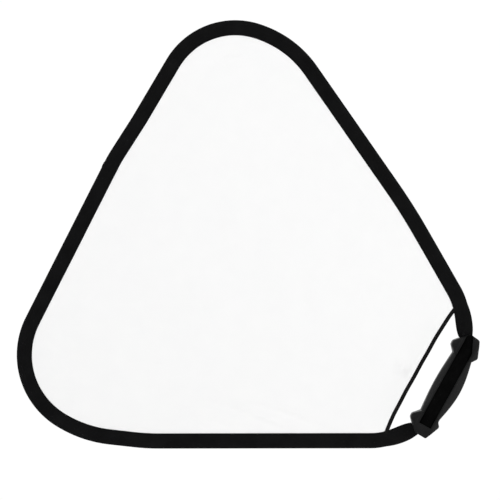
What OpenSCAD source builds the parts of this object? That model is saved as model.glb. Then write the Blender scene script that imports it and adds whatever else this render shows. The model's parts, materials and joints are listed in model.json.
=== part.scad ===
// Collapsible light panel: a springy steel band in a black fabric rim, a white sheet, and a moulded handle.
// +X to the right, +Z up, front towards -Y. The origin is on the band, halfway along the handle.

/* [Rim] */
// Height of the apex above the handle's centre
apex_z = 492; // [470:1:510]
// Lean of the handle and of the band through it, from horizontal
grip_lean = 61; // [59:1:63]
// Width of the fabric rim, seen from the front
rim_w = 19.5; // [18:0.5:22]
// Thickness of the fabric rim round the band
rim_t = 8; // [7:0.5:9]
// Width of the steel band, front to back
band_w = 6; // [5:0.5:6]
// Thickness of the steel band
band_t = 0.6; // [0.4:0.1:0.8]

/* [Fold] */
// Band links on each side of the handle
links = 14; // [12:1:16]
// Length of band from the handle's centre to the joint between its ends, by way of the apex
joint_s = 860; // [840:5:880]
// Gap between two links at their hinge
link_gap = 0.5; // [0.4:0.1:0.8]

/* [Sheet] */
// Thickness of the white sheet
sheet_t = 0.6; // [0.4:0.1:0.8]
// Distance from the band to the bound edge beside the handle
gap_v = 35; // [34:1:38]
// Width of the binding on that edge
binding_w = 5.2; // [4:0.2:6]

/* [Handle] */
// Half thickness of the grip, front to back
grip_y = 16; // [15:0.5:17]
// Half thickness of the two flanged ends
flange_y = 19.5; // [18:0.5:21]
// Width of the soft strip along the grip
strip_w = 17; // [15:0.5:18]
// Thickness of the soft strip
strip_t = 2; // [1.5:0.5:2.5]

/* [Hidden] */
$fn = 48;
side_names = ["a", "b"];

// Outline of the band: corners [x, z, fillet radius], anticlockwise from the corner above the handle
corners = [
    [94 * cos(grip_lean), 94 * sin(grip_lean), 85],
    [-39, 230, 800],
    [-190, apex_z - 45, 140],
    [-312, apex_z, 100],
    [-399, 345, 200],
    [-431, 295, 200],
    [-583, -5, 105],
    [-465, -72, 160],
    [-384, -81, 300],
    [-92 * cos(grip_lean), -92 * sin(grip_lean), 80]];
arc_step = 6;         // degrees of turn between two points on a fillet
link_start = 76;      // band held by the handle, each way from its centre
sleeve_start = 66;    // where the sleeve's ends sit in the handle's mouths
rim_out = 4;          // fabric outside the band
rim_in = rim_w - rim_out;
mouth_in = 7;         // where it enters the handle the rim is narrower on its inner side,
mouth_relax = 12;     // comes back to its full width over about this length,
mouth_outer = [[0, 10.5], [14, 8.9], [45, rim_out]];   // and is wider outside: [length, width]
tuck = 3;             // how far the sheet goes into the rim
clear = 0.3;
big = 200;

function unit(v) = v / norm(v);
function left(v) = [-v[1], v[0]];
function cross2(a, b) = a[0] * b[1] - a[1] * b[0];
function xz(c) = [c[0], c[1]];
function prev(list, i) = list[(i + len(list) - 1) % len(list)];
function next(list, i) = list[(i + 1) % len(list)];

// Points of one fillet as [x, z, nx, nz], where n is the normal to the left of the direction of travel
function fillet(list, i) =
    let (p = xz(list[i]), r = list[i][2],
         d0 = unit(p - xz(prev(list, i))), d1 = unit(xz(next(list, i)) - p),
         turn = asin(cross2(d0, d1)), s = sign(turn),
         start = p - d0 * r * tan(abs(turn) / 2),
         centre = start + left(d0) * r * s,
         steps = max(2, ceil(abs(turn) / arc_step)))
    [for (k = [0:steps])
        let (a = turn * k / steps,
             n = [left(d0)[0] * cos(a) - left(d0)[1] * sin(a), left(d0)[0] * sin(a) + left(d0)[1] * cos(a)])
        concat(centre - n * r * s, n)];
function rounded(list) = [for (i = [0:len(list) - 1]) for (p = fillet(list, i)) p];

// The band's route, from the handle's centre round to it again, and the length up to each of its points
grip_dir = [cos(grip_lean), sin(grip_lean)];
grip_in = left(grip_dir);
route = concat([concat([0, 0], grip_in)], rounded(corners), [concat([0, 0], grip_in)]);
function step_len(i) = norm(xz(route[i]) - xz(route[i - 1]));
function lengths(i = 0, sum = 0) = i == len(route) ? []
    : let (now = i == 0 ? 0 : sum + step_len(i)) concat([now], lengths(i + 1, now));
route_s = lengths();
loop_len = route_s[len(route) - 1];
// The same twice over, so that a length may be counted back from the handle too
all_s = concat([for (i = [0:len(route) - 2]) route_s[i] - loop_len], route_s);
all_p = concat([for (i = [0:len(route) - 2]) route[i]], route);
function table(column) = [for (i = [0:len(all_s) - 1]) [all_s[i], all_p[i][column]]];
table_x = table(0);
table_z = table(1);
table_nx = table(2);
table_nz = table(3);
// The point at length s along the band and offset e towards the sheet
function on_band(s, e = 0) =
    [lookup(s, table_x) + e * lookup(s, table_nx), lookup(s, table_z) + e * lookup(s, table_nz)];
function knots(s0, s1) = concat([s0], [for (s = all_s) if (s > s0 + 0.5 && s < s1 - 0.5) s], [s1]);

// A flat shape in X and Z, as thick as from y0 to y1
module slab(y0, y1, points) {
    translate([0, y1, 0]) rotate([90, 0, 0]) linear_extrude(y1 - y0) polygon(points);
}
// A strip that follows the band from length s0 to s1, from offset e0 to e1
module strip(s0, s1, e0, e1, half_y) {
    at = knots(s0, s1);
    last = len(at) - 1;
    slab(-half_y, half_y, concat([for (s = at) on_band(s, e0)],
                                 [for (k = [last:-1:0]) on_band(at[k], e1)]));
}
// The fabric rim's own outline, which shifts outwards at the handle
function from_mouth(s) = min(s, loop_len - s) - sleeve_start;
function rim_outer(s) = lookup(from_mouth(s), mouth_outer);
function rim_edge(s) = rim_in - (rim_in - mouth_in) * exp(-from_mouth(s) / mouth_relax);
module rim_outline(half_y, more = 0) {
    at = knots(sleeve_start, loop_len - sleeve_start);
    slab(-half_y, half_y, concat([for (s = at) on_band(s, -rim_outer(s))],
                                 [for (k = [len(at) - 1:-1:0]) on_band(at[k], rim_edge(at[k]) + more)]));
}

// ---- the steel band ----
function side_len(b) = b ? loop_len - joint_s : joint_s;
function hinge_s(b, i) = link_start + i * (side_len(b) - link_start) / links;
ferrule_half = 14;
module band_link(b, i) {
    from = hinge_s(b, i - 1) + link_gap / 2;
    last = i == links;
    to = last ? side_len(b) + (b ? -ferrule_half - link_gap : ferrule_half - 1) : hinge_s(b, i) - link_gap / 2;
    color("silver") difference() {
        strip(b ? -to : from, b ? -from : to, -band_t / 2, band_t / 2, band_w / 2);
        if (last && !b) ferrule_bores();
    }
}
module band_in_handle() {
    color("silver") strip(-link_start + link_gap / 2, link_start - link_gap / 2,
                          -band_t / 2, band_t / 2, band_w / 2);
}

// The joint between the band's ends: a steel sleeve, carried by the last link of side a
ferrule_wall = 0.8;
rivet_r = 1.2;
rivet_at = 8;
module at_ferrule(s) {
    p = on_band(s);
    n = [lookup(s, table_nx), lookup(s, table_nz)];
    translate([p[0], 0, p[1]]) rotate([0, 90 - atan2(n[1], n[0]), 0]) children();
}
module ferrule_bores() {
    for (s = [-rivet_at, rivet_at]) at_ferrule(joint_s + s) cylinder(h = 8, r = rivet_r, center = true);
}
module band_ferrule() {
    out_e = band_t / 2 + ferrule_wall;
    color("dimgray") difference() {
        strip(joint_s - ferrule_half, joint_s + ferrule_half, -out_e, out_e, band_w / 2 + ferrule_wall);
        strip(joint_s - ferrule_half - 1, joint_s + ferrule_half + 1, -band_t / 2, band_t / 2, band_w / 2);
        ferrule_rivets();
    }
}
module ferrule_rivets() {
    cap_h = 0.5;
    grip_h = band_t + 2 * ferrule_wall;
    color("gray") for (s = [-rivet_at, rivet_at]) at_ferrule(joint_s + s) union() {
        cylinder(h = grip_h, r = rivet_r, center = true);
        for (z = [-1, 1]) translate([0, 0, z * (grip_h + cap_h) / 2])
            cylinder(h = cap_h, r = rivet_r + 0.8, center = true);
    }
}

// ---- the fabric ----
channel_e = 2.4;      // room round the band inside the rim
channel_y = band_w / 2 + 0.8;
module rim_sleeve() {
    color([0.07, 0.07, 0.07]) difference() {
        rim_outline(rim_t / 2);
        strip(sleeve_start - 1, loop_len - sleeve_start + 1, -channel_e, channel_e, channel_y);
        strip(link_start, loop_len - link_start, rim_in - tuck - clear, rim_in + 1, sheet_t / 2 + 0.05);
        sleeve_rivet();
    }
}
// A rivet through the rim, just clear of the band, keeps the rim's upper end in the handle
rivet_s = 71;
rivet_e = 2;
rivet_cap = 0.8;
module sleeve_rivet() {
    p = on_band(rivet_s, rivet_e);
    color("black") translate([p[0], 0, p[1]]) rotate([90, 0, 0]) union() {
        cylinder(h = rim_t, r = 0.8, center = true);
        for (y = [-1, 1]) translate([0, 0, y * (rim_t + rivet_cap) / 2])
            cylinder(h = rivet_cap, r = 2, center = true);
    }
}

// The bound edge, as a height over the handle's own line: nearly straight, and nearer to the rim at its ends
gap_u = 92;
gap_drop = 3.6;
function gap_edge(u) = gap_v - gap_drop * pow(u / gap_u, 4);
module gap_side() {
    reach = 130;
    in_grip() slab(-big, big, concat([for (u = [-reach:10:reach]) [u, gap_edge(u)]],
                                     [[reach, -80], [-reach, -80]]));
}
module white_sheet() {
    inner = rim_in - tuck;
    color([0.97, 0.97, 0.96]) difference() {
        slab(-sheet_t / 2, sheet_t / 2, [for (s = knots(0, loop_len)) on_band(s, inner)]);
        gap_side();
    }
}
module gap_binding() {
    reach = 110;
    half_w = binding_w / 2;
    color([0.1, 0.1, 0.1]) difference() {
        in_grip() slab(-1.5, 1.5, concat([for (u = [-reach:10:reach]) [u, gap_edge(u) - half_w]],
                                         [for (u = [reach:-10:-reach]) [u, gap_edge(u) + half_w]]));
        in_grip() slab(-sheet_t / 2 - 0.05, sheet_t / 2 + 0.05,
            concat([for (u = [-reach - 5:5:reach + 5]) [u, gap_edge(u) - clear]],
                   [[reach + 5, 60], [-reach - 5, 60]]));
        rim_outline(rim_t, 0.1);
        strip(link_start - 30, loop_len - link_start + 30, -40, rim_in - 2, rim_t);
    }
}

// ---- the handle ----
// Handle shapes are drawn with X along the grip, upwards, and Z towards the sheet
module in_grip() {
    rotate([0, -grip_lean, 0]) children();
}
barrel_half = 45;
function barrel_inner(u) = 6.6 + 2.7 * cos(90 * u / barrel_half);
function barrel_outer(u) = -20.3 - 7.3 * cos(90 * u / barrel_half);
strip_v = -7;         // middle of the soft strip
strip_end = -58;      // lower end of the front strip
strip_bend = 52.2;    // past this its outer edge runs beside the flange's,
strip_slope = 0.46;   // at this slope
rear_half = 42;       // half length of the rear strip
// Flange outlines: [along the grip, towards the sheet, fillet radius]
flange_top = [[43, -20.5, 1], [50.3, -26.3, 3.5], [72.8, -16.1, 4], [74.5, -2.5, 5], [57, 14.1, 3.5],
              [51, 14.1, 3.5], [43, 6, 1]];
flange_bottom = [[-43, 6, 1], [-51.8, 14.9, 3.5], [-57, 14.8, 3.5], [-72, 0.2, 5], [-72.6, -15.8, 2.5],
                 [-51.5, -25.6, 3.5], [-46.5, -20.8, 1.5], [-43, -20.3, 1]];
// Cross-sections: [front to back, towards the sheet]
function ring_section(y, mid, v0, v1, flat0, flat1) =
    [[-mid, v1], [-y, flat1], [-y, flat0], [-mid, v0], [mid, v0], [y, flat0], [y, flat1], [mid, v1]];
barrel_section = ring_section(grip_y, 5, -27.8, 9.6, -17, 3);
flange_section = ring_section(flange_y, 10, -27, 15, -18, 5);
module along_grip(section, u0, u1) {
    translate([u0, 0, 0]) rotate([90, 0, 90]) linear_extrude(u1 - u0) polygon(section);
}
module barrel() {
    steps = [-barrel_half:5:barrel_half];
    intersection() {
        slab(-big, big, concat([for (u = steps) [u, barrel_outer(u)]],
                               [for (u = [barrel_half:-5:-barrel_half]) [u, barrel_inner(u)]]));
        along_grip(barrel_section, -barrel_half, barrel_half);
    }
}
module flange(outline) {
    intersection() {
        slab(-big, big, [for (p = rounded(outline)) xz(p)]);
        along_grip(flange_section, -80, 80);
    }
}
// The room of the front strip, seen from the front
module front_strip_zone(y0, y1) {
    low = strip_v - strip_w / 2;
    high = strip_v + strip_w / 2;
    top = 80;
    slab(y0, y1, [[strip_end, low], [strip_bend, low], [top, low + strip_slope * (top - strip_bend)],
                  [top, high], [strip_end, high]]);
}
screw_at = [[56, -14], [-56, -14], [27, -19], [-27, -19]];
boss_r = 4;
screw_r = 1.5;
screw_reach = 8;      // how far the screws go into the front half
head_r = 3;
head_h = 2.2;
cross = [4, 0.7, 1.3];  // length, width and depth of the driver's cross
screw_seat = 6.5;     // where the heads bear on the rear half
cavity = [34, 10, -22.5, -5];   // half length, half thickness, lowest and highest towards the sheet
module case_body() {
    difference() {
        union() {
            barrel();
            flange(flange_top);
            flange(flange_bottom);
        }
        // soft strips, let in flush on the grip and cut through the flanges at the front
        front_strip_zone(-flange_y - 1, strip_t - grip_y);
        translate([-rear_half, grip_y - strip_t, strip_v - strip_w / 2])
            cube([2 * rear_half, strip_t + 1, strip_w]);
        // hollow inside, with posts for the screws
        difference() {
            translate([-cavity[0], -cavity[1], cavity[2]])
                cube([2 * cavity[0], 2 * cavity[1], cavity[3] - cavity[2]]);
            for (p = screw_at) translate([p[0], 0, p[1]]) rotate([90, 0, 0])
                cylinder(h = 2 * cavity[1] + 2, r = boss_r, center = true);
        }
        // pocket of the band clamp
        translate([-clamp_len / 2 - clear, -clamp_y - clear, -clamp_top - clear])
            cube([clamp_len + 2 * clear, 2 * (clamp_y + clear), 2 * (clamp_top + clear) + clamp_head_h]);
        for (p = screw_at) translate([p[0], 0, p[1]]) rotate([90, 0, 0]) union() {
            translate([0, 0, -screw_seat]) cylinder(h = screw_seat + screw_reach + 1, r = screw_r);
            translate([0, 0, -big]) cylinder(h = big - screw_seat, r = head_r + 0.2);
        }
    }
}
// The way through the handle for the band, with a wider mouth at each end for the rim
passage_e = 3;
passage_y = band_w / 2 + 1;
mouth_end = 100;
mouth_e = [-10.8, 11.3];
module band_passage() {
    strip(-mouth_end, mouth_end, -passage_e, passage_e, passage_y);
    strip(-mouth_end, 1 - sleeve_start, mouth_e[0], mouth_e[1], rim_t / 2 + clear);
    strip(sleeve_start - 1, mouth_end, mouth_e[0], mouth_e[1], rim_t / 2 + clear);
}
module handle_half(rear) {
    difference() {
        in_grip() intersection() {
            case_body();
            translate([-big, rear ? 0 : -big, -big]) cube([2 * big, big, 2 * big]);
        }
        band_passage();
    }
}
module handle_front() {
    color([0.13, 0.13, 0.14]) handle_half(false);
}
module handle_rear() {
    color([0.15, 0.15, 0.16]) handle_half(true);
}
module grip_strip_front() {
    color([0.05, 0.05, 0.05]) in_grip() intersection() {
        front_strip_zone(-grip_y, strip_t - grip_y);
        union() {
            slab(-big, big, [for (p = rounded(flange_top)) xz(p)]);
            translate([strip_end, -big, -big]) cube([barrel_half - strip_end, 2 * big, 2 * big]);
        }
    }
}
module grip_strip_rear() {
    color([0.05, 0.05, 0.05]) in_grip() translate([-rear_half, grip_y - strip_t, strip_v - strip_w / 2])
        cube([2 * rear_half, strip_t, strip_w]);
}
module case_screws() {
    color("dimgray") in_grip() for (p = screw_at) translate([p[0], 0, p[1]]) rotate([90, 0, 0]) difference() {
        union() {
            translate([0, 0, -screw_seat]) cylinder(h = screw_seat + screw_reach, r = screw_r);
            translate([0, 0, -screw_seat - head_h]) cylinder(h = head_h, r = head_r);
        }
        translate([0, 0, -screw_seat - head_h - 0.1]) for (a = [0, 90]) rotate(a)
            translate([-cross[0] / 2, -cross[1] / 2, 0]) cube(cross);
    }
}

// Two steel plates grip the band inside the handle
clamp_len = 52;
clamp_y = 7.5;
clamp_t = 2.4;
clamp_top = band_t / 2 + clamp_t;
clamp_head_h = 1;
clamp_screw_at = [[-20, -5.2], [-20, 5.2], [20, -5.2], [20, 5.2]];
clamp_screw_r = 1.25;
module clamp_plate(inner) {
    z0 = inner ? band_t / 2 : -clamp_top;
    in_grip() difference() {
        translate([-clamp_len / 2, -clamp_y, z0]) cube([clamp_len, 2 * clamp_y, clamp_t]);
        for (p = clamp_screw_at) translate([p[0], p[1], z0 - 1]) cylinder(h = clamp_t + 2, r = clamp_screw_r);
    }
}
module band_clamp_inner() {
    color("lightgray") clamp_plate(true);
}
module band_clamp_outer() {
    color("lightgray") clamp_plate(false);
}
module clamp_screws() {
    color("gray") in_grip() for (p = clamp_screw_at) translate([p[0], p[1], 0]) union() {
        translate([0, 0, -clamp_top]) cylinder(h = 2 * clamp_top, r = clamp_screw_r);
        translate([0, 0, clamp_top]) cylinder(h = clamp_head_h, r = 2.1);
    }
}

handle_front();
handle_rear();
grip_strip_front();
grip_strip_rear();
band_clamp_inner();
band_clamp_outer();
clamp_screws();
case_screws();
band_in_handle();
rim_sleeve();
sleeve_rivet();
white_sheet();
gap_binding();
band_ferrule();
ferrule_rivets();
for (side = [0, 1]) for (i = [1:links])
    band_link(side == 1, i);
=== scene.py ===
"""Collapsible light panel: the finished look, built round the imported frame."""
import json
import math

import bmesh
import bpy
import numpy as np
from mathutils import Vector
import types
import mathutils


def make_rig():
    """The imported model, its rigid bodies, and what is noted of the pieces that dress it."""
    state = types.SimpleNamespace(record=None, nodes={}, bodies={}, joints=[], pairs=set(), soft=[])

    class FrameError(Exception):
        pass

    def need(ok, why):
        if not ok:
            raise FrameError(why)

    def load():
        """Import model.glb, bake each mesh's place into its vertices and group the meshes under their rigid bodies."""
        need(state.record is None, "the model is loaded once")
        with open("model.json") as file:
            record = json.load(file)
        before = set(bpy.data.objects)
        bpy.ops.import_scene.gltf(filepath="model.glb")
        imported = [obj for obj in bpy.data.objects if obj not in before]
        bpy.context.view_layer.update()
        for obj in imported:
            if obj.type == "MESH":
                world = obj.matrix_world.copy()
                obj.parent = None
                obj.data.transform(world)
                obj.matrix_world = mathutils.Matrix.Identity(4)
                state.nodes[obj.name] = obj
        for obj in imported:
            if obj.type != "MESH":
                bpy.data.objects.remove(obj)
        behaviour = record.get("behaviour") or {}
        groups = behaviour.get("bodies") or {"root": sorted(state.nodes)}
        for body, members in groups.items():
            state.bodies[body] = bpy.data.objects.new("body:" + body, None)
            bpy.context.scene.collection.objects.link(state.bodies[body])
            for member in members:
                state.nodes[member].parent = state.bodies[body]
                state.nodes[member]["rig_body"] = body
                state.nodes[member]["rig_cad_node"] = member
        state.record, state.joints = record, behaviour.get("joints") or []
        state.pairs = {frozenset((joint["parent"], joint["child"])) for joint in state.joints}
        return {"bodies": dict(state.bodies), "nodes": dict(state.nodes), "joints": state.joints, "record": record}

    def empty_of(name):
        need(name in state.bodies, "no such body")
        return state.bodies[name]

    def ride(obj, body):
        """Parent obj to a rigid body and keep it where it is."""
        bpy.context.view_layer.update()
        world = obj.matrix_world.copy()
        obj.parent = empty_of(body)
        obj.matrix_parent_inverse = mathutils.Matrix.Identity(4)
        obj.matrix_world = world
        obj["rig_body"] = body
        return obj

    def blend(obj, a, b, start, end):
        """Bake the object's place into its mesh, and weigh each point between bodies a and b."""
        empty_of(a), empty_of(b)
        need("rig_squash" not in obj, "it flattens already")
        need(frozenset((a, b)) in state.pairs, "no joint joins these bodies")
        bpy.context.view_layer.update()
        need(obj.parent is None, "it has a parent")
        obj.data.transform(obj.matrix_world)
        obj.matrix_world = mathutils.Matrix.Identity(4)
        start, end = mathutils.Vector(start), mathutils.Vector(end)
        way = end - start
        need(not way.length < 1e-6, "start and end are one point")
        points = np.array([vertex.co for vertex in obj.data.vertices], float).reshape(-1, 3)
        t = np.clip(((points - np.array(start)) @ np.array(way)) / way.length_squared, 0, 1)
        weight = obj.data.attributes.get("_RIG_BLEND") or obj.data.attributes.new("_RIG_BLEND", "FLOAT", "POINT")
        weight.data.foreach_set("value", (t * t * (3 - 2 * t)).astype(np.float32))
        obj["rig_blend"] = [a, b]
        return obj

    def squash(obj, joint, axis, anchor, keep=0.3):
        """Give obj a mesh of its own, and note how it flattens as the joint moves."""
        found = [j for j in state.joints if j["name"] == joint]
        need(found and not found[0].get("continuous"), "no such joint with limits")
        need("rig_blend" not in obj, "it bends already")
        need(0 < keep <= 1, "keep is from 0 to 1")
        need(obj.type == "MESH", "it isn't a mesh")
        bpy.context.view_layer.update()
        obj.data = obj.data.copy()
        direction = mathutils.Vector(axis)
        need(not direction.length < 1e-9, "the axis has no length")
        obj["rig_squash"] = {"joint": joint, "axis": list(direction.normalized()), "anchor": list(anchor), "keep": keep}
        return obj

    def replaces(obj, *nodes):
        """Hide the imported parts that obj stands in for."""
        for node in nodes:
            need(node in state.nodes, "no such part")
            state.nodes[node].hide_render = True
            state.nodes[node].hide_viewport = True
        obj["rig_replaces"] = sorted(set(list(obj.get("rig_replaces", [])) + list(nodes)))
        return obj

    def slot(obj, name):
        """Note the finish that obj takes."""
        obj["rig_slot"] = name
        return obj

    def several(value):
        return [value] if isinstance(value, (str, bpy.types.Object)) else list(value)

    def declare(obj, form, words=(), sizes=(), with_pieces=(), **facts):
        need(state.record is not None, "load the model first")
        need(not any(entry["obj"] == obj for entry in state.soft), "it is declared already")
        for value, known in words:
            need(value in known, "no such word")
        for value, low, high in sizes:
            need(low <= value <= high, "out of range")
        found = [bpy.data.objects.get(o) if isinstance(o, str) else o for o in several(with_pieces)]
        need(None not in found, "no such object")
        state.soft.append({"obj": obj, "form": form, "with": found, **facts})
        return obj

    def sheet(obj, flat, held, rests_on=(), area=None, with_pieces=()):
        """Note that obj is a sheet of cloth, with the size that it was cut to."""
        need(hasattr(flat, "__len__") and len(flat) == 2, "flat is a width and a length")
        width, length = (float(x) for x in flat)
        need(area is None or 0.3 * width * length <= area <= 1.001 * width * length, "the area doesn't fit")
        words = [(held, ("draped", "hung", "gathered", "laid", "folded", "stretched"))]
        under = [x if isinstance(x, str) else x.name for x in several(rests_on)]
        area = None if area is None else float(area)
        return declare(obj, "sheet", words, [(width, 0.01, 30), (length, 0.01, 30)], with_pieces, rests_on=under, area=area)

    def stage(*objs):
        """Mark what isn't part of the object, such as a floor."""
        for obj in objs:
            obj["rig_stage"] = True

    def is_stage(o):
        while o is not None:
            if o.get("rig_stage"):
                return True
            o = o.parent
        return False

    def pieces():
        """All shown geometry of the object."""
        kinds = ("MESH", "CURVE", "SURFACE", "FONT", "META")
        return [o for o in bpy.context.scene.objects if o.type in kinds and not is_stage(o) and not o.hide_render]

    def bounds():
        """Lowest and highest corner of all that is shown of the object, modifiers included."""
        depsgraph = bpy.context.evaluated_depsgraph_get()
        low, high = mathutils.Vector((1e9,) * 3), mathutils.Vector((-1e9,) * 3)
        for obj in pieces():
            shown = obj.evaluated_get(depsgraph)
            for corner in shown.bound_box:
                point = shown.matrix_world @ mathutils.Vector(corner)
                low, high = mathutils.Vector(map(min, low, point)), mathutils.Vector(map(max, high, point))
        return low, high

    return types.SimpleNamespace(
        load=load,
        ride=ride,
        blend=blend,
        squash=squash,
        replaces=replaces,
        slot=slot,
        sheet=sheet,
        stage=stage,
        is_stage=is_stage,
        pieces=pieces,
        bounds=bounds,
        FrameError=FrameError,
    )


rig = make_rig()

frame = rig.load()
cad_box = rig.bounds()

MM = 0.001            # lengths are in millimetres, and become metres where a mesh or a frame call is made

# ---- driving dimensions ----
LEAN = math.radians(61.0)         # the handle's lean from horizontal
GRIP_UP, GRIP_DOWN = 94, 92       # from the handle's centre to the band's corners above and below it
CORNERS = [           # the steel band's outline: x, z and fillet radius, anticlockwise from above the handle
    (GRIP_UP * math.cos(LEAN), GRIP_UP * math.sin(LEAN), 85),
    (-39, 230, 800), (-190, 447, 140), (-312, 492, 100), (-399, 345, 200), (-431, 295, 200),
    (-583, -5, 105), (-465, -72, 160), (-384, -81, 300),
    (-GRIP_DOWN * math.cos(LEAN), -GRIP_DOWN * math.sin(LEAN), 80)]
JOINT_S = 860.0       # where the band's ends meet, along the band from the handle's centre
RIM_OUT = 4.0         # fabric outside the band
RIM_IN = 15.5         # and towards the sheet
RIM_PROUD = 0.25      # the cloth stands this far outside the frame's plain rim, on both sides
MOUTH_S = 66.0        # where the rim enters the handle it is narrower inside and wider outside
MOUTH_IN = 7.0
MOUTH_RELAX = 12.0    # it comes back to its full width inside over about this length
MOUTH_OUTER = ((0, 10.5), (14, 8.9), (45, RIM_OUT))   # outside: length from the rim's end, and width
SHEET_E = 12.5        # the sheet's own edge, inside the rim
SHEET_T = 0.6
GAP_V, GAP_U, GAP_DROP = 35.0, 92.0, 3.6   # the bound edge beside the handle

SIDES = {"a": 1, "b": -1}
joints = {j["name"]: j for j in frame["joints"]}
LINKS = sum(name.startswith("fold_a") for name in joints)


# ---- the band's route ----
def unit(v):
    return v / np.linalg.norm(v)


def left(v):
    return np.array([-v[1], v[0]])


def rounded(corners, steps_for):
    """Points (x, z) and left-hand normals of a polygon with its corners rounded."""
    points, normals = [], []
    for i, (x, z, r) in enumerate(corners):
        p = np.array([x, z], float)
        d0 = unit(p - np.array(corners[i - 1][:2], float))
        d1 = unit(np.array(corners[(i + 1) % len(corners)][:2], float) - p)
        turn = math.asin(np.clip(d0[0] * d1[1] - d0[1] * d1[0], -1, 1))
        if d0 @ d1 < 0:
            turn = math.copysign(math.pi, turn) - turn
        side = math.copysign(1, turn)
        start = p - d0 * r * math.tan(abs(turn) / 2)
        centre = start + left(d0) * r * side
        steps = steps_for(turn)
        for k in range(steps + 1):
            a = turn * k / steps
            n0 = left(d0)
            n = np.array([n0[0] * math.cos(a) - n0[1] * math.sin(a),
                          n0[0] * math.sin(a) + n0[1] * math.cos(a)])
            points.append(centre - n * r * side)
            normals.append(n)
    return np.array(points), np.array(normals)


GRIP_DIR = np.array([math.cos(LEAN), math.sin(LEAN)])
GRIP_IN = left(GRIP_DIR)
_points, _normals = rounded(CORNERS, lambda turn: max(2, math.ceil(abs(turn) / math.radians(1))))
ROUTE = np.vstack([[0, 0], _points, [0, 0]])
ROUTE_N = np.vstack([GRIP_IN, _normals, GRIP_IN])
ROUTE_S = np.r_[0, np.cumsum(np.linalg.norm(np.diff(ROUTE, axis=0), axis=1))]
LOOP = ROUTE_S[-1]


def on_band(s, e=0.0):
    """Points (x, z) at lengths s along the band and offsets e towards the sheet, and the normals there."""
    s = np.mod(np.atleast_1d(np.asarray(s, float)), LOOP)
    p = np.stack([np.interp(s, ROUTE_S, ROUTE[:, k]) for k in (0, 1)], axis=-1)
    n = np.stack([np.interp(s, ROUTE_S, ROUTE_N[:, k]) for k in (0, 1)], axis=-1)
    n /= np.linalg.norm(n, axis=-1, keepdims=True)
    return p + n * np.asarray(e, float)[..., None], n


def in_grip(u, v):
    """A point along the grip and towards the sheet, as (x, z)."""
    return np.asarray(u)[..., None] * GRIP_DIR + np.asarray(v)[..., None] * GRIP_IN


def gap_edge(u):
    """The bound edge beside the handle, as v at u."""
    return GAP_V - GAP_DROP * (np.asarray(u, float) / GAP_U) ** 4


def gap_frame(u):
    """Points along the bound edge, its directions and its normals towards the sheet."""
    u = np.atleast_1d(np.asarray(u, float))
    slope = -4 * GAP_DROP * u ** 3 / GAP_U ** 4
    along = GRIP_DIR[None] + slope[:, None] * GRIP_IN[None]
    along /= np.linalg.norm(along, axis=1, keepdims=True)
    return in_grip(u, gap_edge(u)), along, np.column_stack([-along[:, 1], along[:, 0]])


def side_length(side):
    return JOINT_S if side == "a" else LOOP - JOINT_S


def hinge_s(side, i):
    """Length from the handle's centre to hinge i + 1 of a side, found from the frame's own joint."""
    if i == LINKS:
        return side_length(side)
    x, _, z = joints[f"fold_{side}{i + 1}"]["pos_m"]
    here = np.array([x, z]) / MM
    k = int(np.linalg.norm(ROUTE - here, axis=1).argmin())
    near = []
    for j in (k - 1, k):
        a, b = ROUTE[j], ROUTE[(j + 1) % len(ROUTE)]
        t = np.clip((here - a) @ (b - a) / max((b - a) @ (b - a), 1e-9), 0, 1)
        near.append((np.linalg.norm(a + t * (b - a) - here), ROUTE_S[j] + t * np.linalg.norm(b - a)))
    s = min(near)[1]
    return s if side == "a" else LOOP - s


HINGES = {side: [hinge_s(side, i) for i in range(LINKS + 1)] for side in SIDES}


def to_route(side, s):
    """A length counted from the handle along one side, as a length along the whole route."""
    return s if side == "a" else LOOP - s


def body_name(side, i):
    return "handle" if i == 0 else f"link_{side}{i}"


def in_frame(p):
    """An (x, z) point in millimetres, as the frame's (x, y, z) in metres."""
    return (p[0] * MM, 0.0, p[1] * MM)


def band_in_frame(s, e=0.0):
    return in_frame(on_band([s], [e])[0][0])


# ---- meshes ----
def add_object(name, data):
    obj = bpy.data.objects.new(name, data)
    bpy.context.scene.collection.objects.link(obj)
    return obj


def make_object(name, verts, faces, uvs=None):
    """A smooth mesh object from points in millimetres; uvs are per vertex, in millimetres too."""
    mesh = bpy.data.meshes.new(name)
    mesh.from_pydata([tuple(v) for v in np.asarray(verts, float) * MM], [], [tuple(f) for f in faces])
    mesh.validate()
    if uvs is not None:
        layer = mesh.uv_layers.new(name="UVMap")
        index = np.empty(len(mesh.loops), int)
        mesh.loops.foreach_get("vertex_index", index)
        layer.data.foreach_set("uv", (np.asarray(uvs, float)[index] * MM).ravel())
    mesh.polygons.foreach_set("use_smooth", [True] * len(mesh.polygons))
    return add_object(name, mesh)


def sharpen(obj, degrees):
    """Edges that turn by more than this are drawn sharp."""
    bm = bmesh.new()
    bm.from_mesh(obj.data)
    for edge in bm.edges:
        if len(edge.link_faces) == 2 and edge.calc_face_angle(0) > math.radians(degrees):
            edge.smooth = False
    bm.to_mesh(obj.data)
    bm.free()


def tube(rings):
    """Faces of a closed tube through rings of equal length, with flat caps."""
    count, size = len(rings), len(rings[0])
    verts = np.concatenate(rings)
    faces = [(i * size + j, i * size + (j + 1) % size, (i + 1) * size + (j + 1) % size, (i + 1) * size + j)
             for i in range(count - 1) for j in range(size)]
    faces.append(tuple(range(size - 1, -1, -1)))
    faces.append(tuple((count - 1) * size + j for j in range(size)))
    return verts, faces


def outward(obj):
    """All faces look outwards."""
    bm = bmesh.new()
    bm.from_mesh(obj.data)
    bmesh.ops.recalc_face_normals(bm, faces=bm.faces)
    bm.to_mesh(obj.data)
    bm.free()


def closed(name, verts, faces, uvs=None, sharp_from=None):
    """A closed mesh object, its faces outwards, with the edges that turn by more than sharp_from sharp."""
    obj = make_object(name, verts, faces, uvs)
    outward(obj)
    if sharp_from:
        sharpen(obj, sharp_from)
    return obj


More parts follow.
